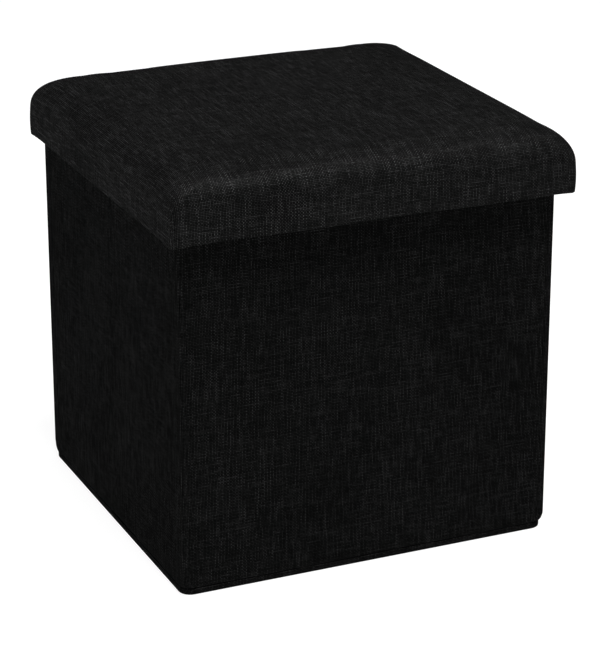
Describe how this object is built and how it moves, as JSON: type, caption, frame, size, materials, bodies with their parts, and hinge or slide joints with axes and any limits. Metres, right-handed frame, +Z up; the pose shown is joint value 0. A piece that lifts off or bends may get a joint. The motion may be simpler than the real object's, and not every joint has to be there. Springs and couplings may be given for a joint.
{
  "type": "folding storage ottoman",
  "caption": "Cube storage ottoman covered in dark woven cloth, with folding board walls and a lift-off padded lid that is also the seat.",
  "frame": {"origin": "centre of the body's footprint, on the floor", "axes": "+Z up; the front wall faces -Y, the two folding side walls face -X and +X"},
  "size_m": [0.373, 0.362, 0.38],
  "materials": {
    "outer_cloth": "matt plain-weave linen-look cloth",
    "board": "raw pressed fibre board",
    "lining": "thin bonded non-woven cloth",
    "rim_tape": "matt folded binding tape",
    "foam": "open-cell cushion foam",
    "staple_wire": "galvanised wire"
  },
  "bodies": {
    "base": {"base_board": "board", "base_cover": "outer_cloth", "base_lining": "lining", "back_board": "board", "back_cover": "outer_cloth", "back_lining": "lining", "back_rim_tape": "rim_tape"},
    "front_wall": {"front_board": "board", "front_cover": "outer_cloth", "front_lining": "lining", "front_rim_tape": "rim_tape"},
    "left_rear_half": {"left_rear_board": "board", "left_rear_cover": "outer_cloth", "left_rear_lining": "lining", "left_rear_rim_tape": "rim_tape"},
    "left_front_half": {"left_front_board": "board", "left_front_cover": "outer_cloth", "left_front_lining": "lining", "left_front_rim_tape": "rim_tape"},
    "right_rear_half": {"right_rear_board": "board", "right_rear_cover": "outer_cloth", "right_rear_lining": "lining", "right_rear_rim_tape": "rim_tape"},
    "right_front_half": {"right_front_board": "board", "right_front_cover": "outer_cloth", "right_front_lining": "lining", "right_front_rim_tape": "rim_tape"},
    "lid": {"lid_board": "board", "lid_front_rail": "board", "lid_back_rail": "board", "lid_left_rail": "board", "lid_right_rail": "board", "lid_foam": "foam", "lid_cover": "outer_cloth", "lid_lining": "lining", "lid_staples": "staple_wire"}
  },
  "joints": [
    {"name": "wall_fold", "type": "hinge", "parent": "base", "child": "left_rear_half", "pos_m": [-0.168, 0.161, 0.175], "axis": [0, 0, -1], "range_deg": [-88, 0]},
    {"name": "left_crease", "type": "hinge", "parent": "left_rear_half", "child": "left_front_half", "pos_m": [-0.174, 0, 0.175], "axis": [0, 0, -1], "range_deg": [0, 176]},
    {"name": "front_left_corner", "type": "hinge", "parent": "left_front_half", "child": "front_wall", "pos_m": [-0.168, -0.161, 0.175], "axis": [0, 0, -1], "range_deg": [-88, 0]},
    {"name": "right_rear_corner", "type": "hinge", "parent": "base", "child": "right_rear_half", "pos_m": [0.168, 0.161, 0.175], "axis": [0, 0, -1], "range_deg": [0, 88]},
    {"name": "right_crease", "type": "hinge", "parent": "right_rear_half", "child": "right_front_half", "pos_m": [0.174, 0, 0.175], "axis": [0, 0, -1], "range_deg": [-176, 0]},
    {"name": "lid_lift", "type": "slide", "parent": "base", "child": "lid", "axis": [0, 0, 1], "range_m": [0, 0.25]}
  ],
  "couplings": [
    {"joint": "left_crease", "follows": "wall_fold", "ratio": -2},
    {"joint": "front_left_corner", "follows": "wall_fold", "ratio": 1},
    {"joint": "right_rear_corner", "follows": "wall_fold", "ratio": -1},
    {"joint": "right_crease", "follows": "wall_fold", "ratio": 2}
  ]
}
